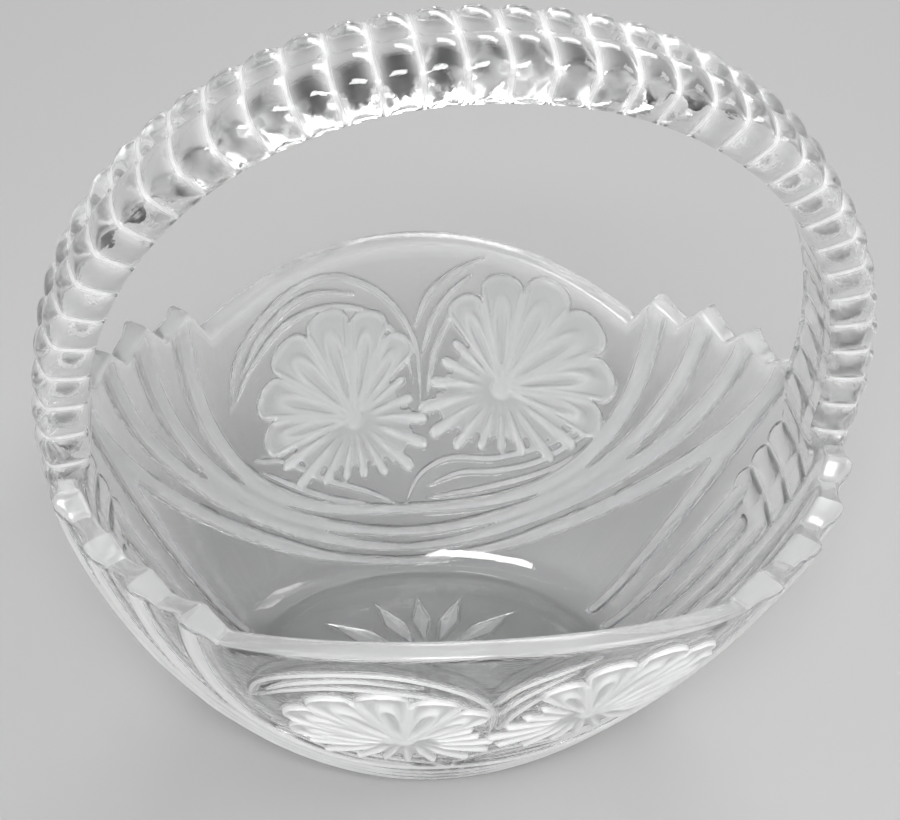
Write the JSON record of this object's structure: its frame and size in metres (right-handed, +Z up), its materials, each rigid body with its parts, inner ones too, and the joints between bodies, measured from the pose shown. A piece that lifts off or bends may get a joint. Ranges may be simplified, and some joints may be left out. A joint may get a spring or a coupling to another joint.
{
  "type": "glass basket",
  "caption": "Oval pressed glass basket with a scalloped rim, ribbed walls, flower panels and a fixed bumpy arch handle.",
  "frame": {"origin": "middle of the foot's flat underside, on the surface that the basket stands on", "axes": "+X along the bowl and in the plane of the handle, +Y across the bowl, +Z up"},
  "size_m": [0.2, 0.1528, 0.2042],
  "materials": {
    "clear_glass": "polished"
  },
  "bodies": {
    "root": {"glass_basket": "clear_glass"}
  },
  "joints": []
}
